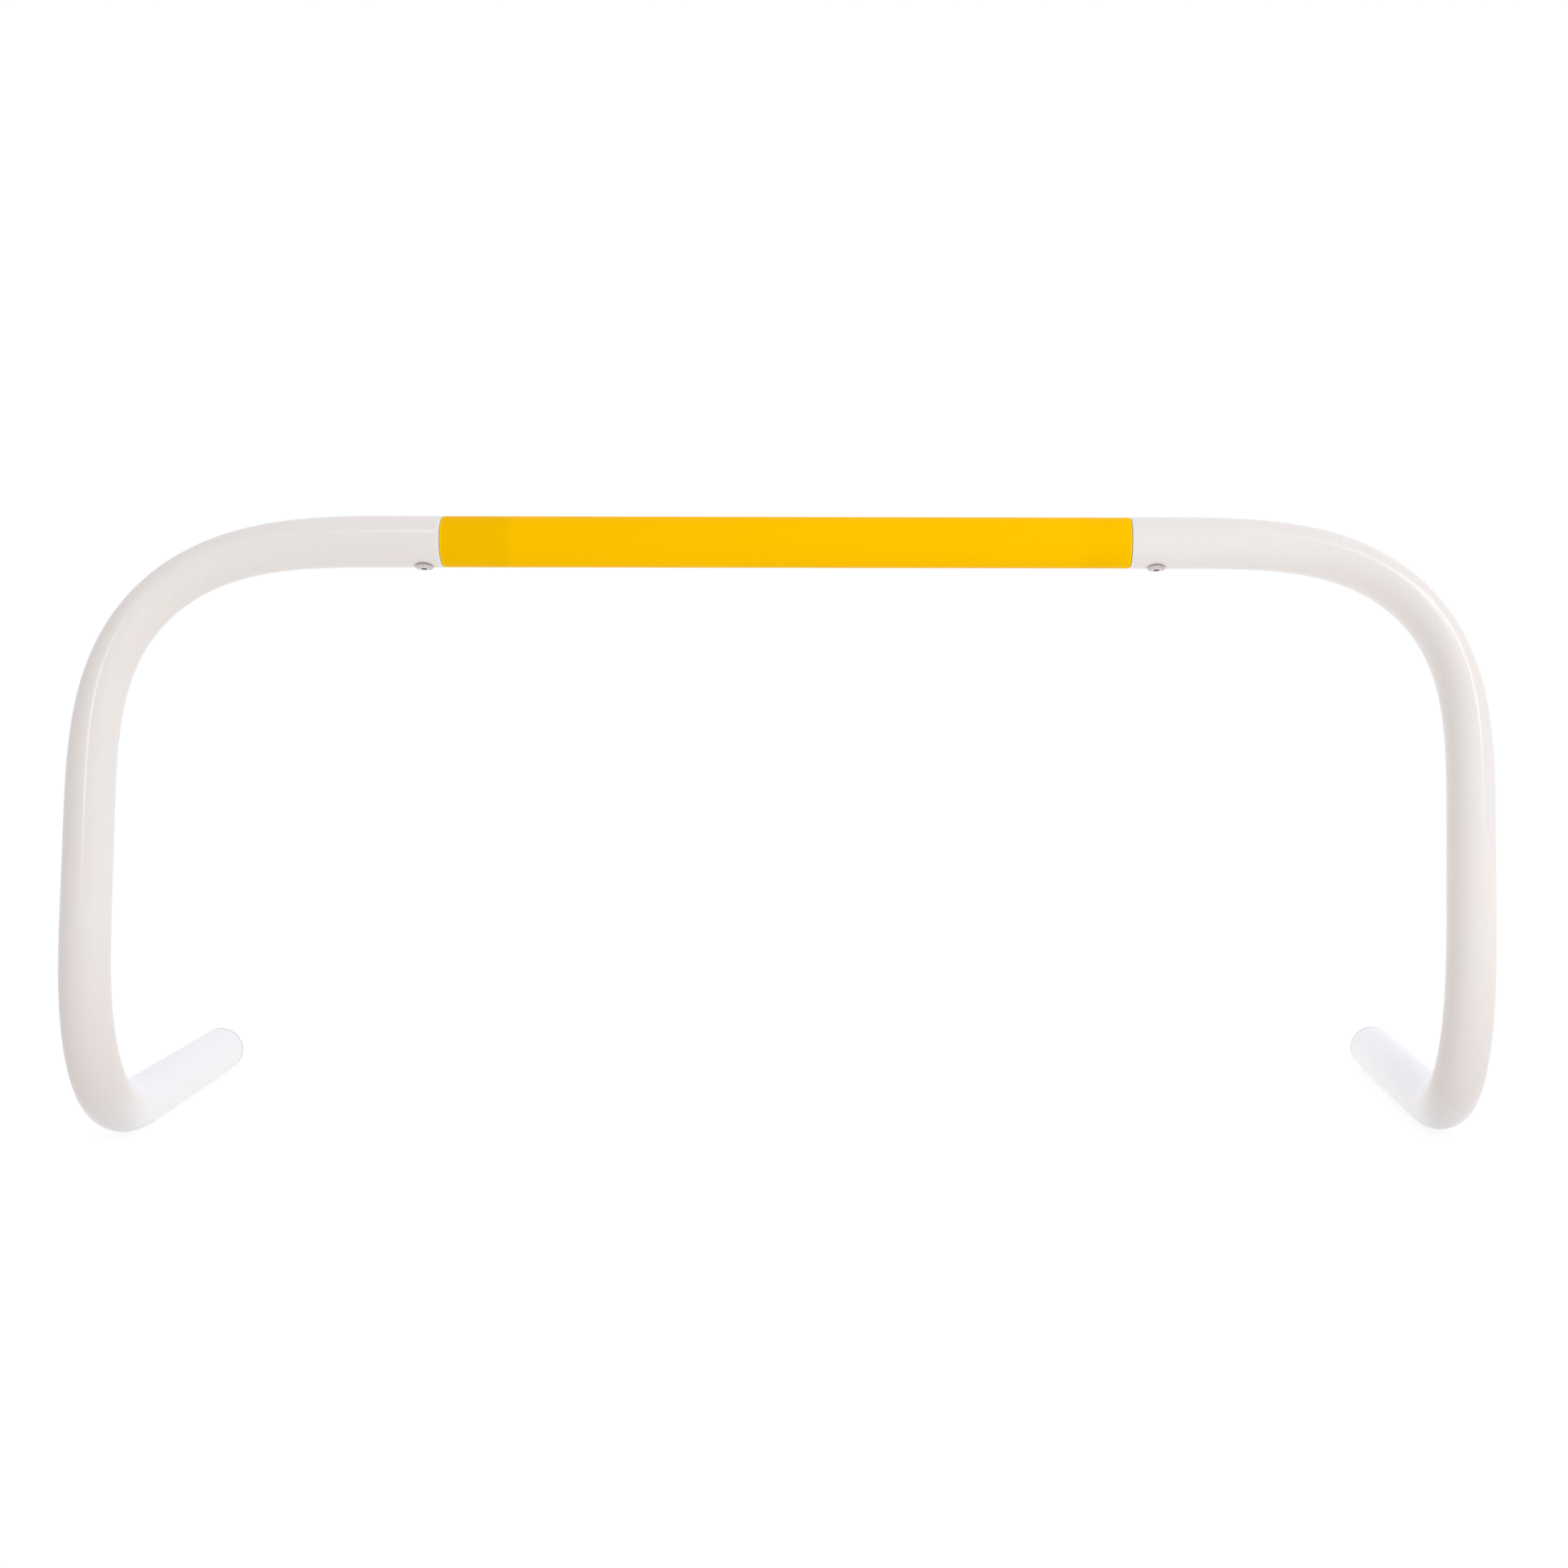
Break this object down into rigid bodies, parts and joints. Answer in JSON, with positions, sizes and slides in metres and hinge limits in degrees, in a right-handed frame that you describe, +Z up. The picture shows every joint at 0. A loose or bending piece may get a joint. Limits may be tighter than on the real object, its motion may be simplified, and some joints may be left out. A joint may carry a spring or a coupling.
{
  "type": "training hurdle",
  "caption": "Low training hurdle: a straight yellow crossbar tube between bent white tube legs whose feet run back along the ground; the legs push into the crossbar on inner spigots.",
  "frame": {"origin": "on the ground, under the middle of the hurdle's outline", "axes": "+Z up; +X along the crossbar, towards the right-hand leg as seen from the front; +Y backwards, the way the feet run from the legs"},
  "size_m": [0.7166, 0.2742, 0.3133],
  "materials": {
    "yellow_tube": "smooth glossy yellow plastic pipe",
    "white_tube": "smooth glossy white plastic pipe",
    "grey_spigot": "plain grey plastic pipe",
    "rivet_aluminium": "bright rivet aluminium",
    "mandrel_steel": "dull zinc-plated steel, broken end",
    "white_cap": "satin moulded white plastic"
  },
  "bodies": {
    "crossbar": {"crossbar_tube": "yellow_tube"},
    "left_leg": {"left_leg_tube": "white_tube", "left_spigot": "grey_spigot", "left_rivet_body": "rivet_aluminium", "left_rivet_mandrel": "mandrel_steel", "left_foot_cap": "white_cap"},
    "right_leg": {"right_leg_tube": "white_tube", "right_spigot": "grey_spigot", "right_rivet_body": "rivet_aluminium", "right_rivet_mandrel": "mandrel_steel", "right_foot_cap": "white_cap"}
  },
  "joints": [
    {"name": "left_leg_pull", "type": "slide", "parent": "crossbar", "child": "left_leg", "axis": [-1, 0, 0], "range_m": [0, 0.0345]},
    {"name": "right_leg_pull", "type": "slide", "parent": "crossbar", "child": "right_leg", "axis": [1, 0, 0], "range_m": [0, 0.0245]}
  ]
}
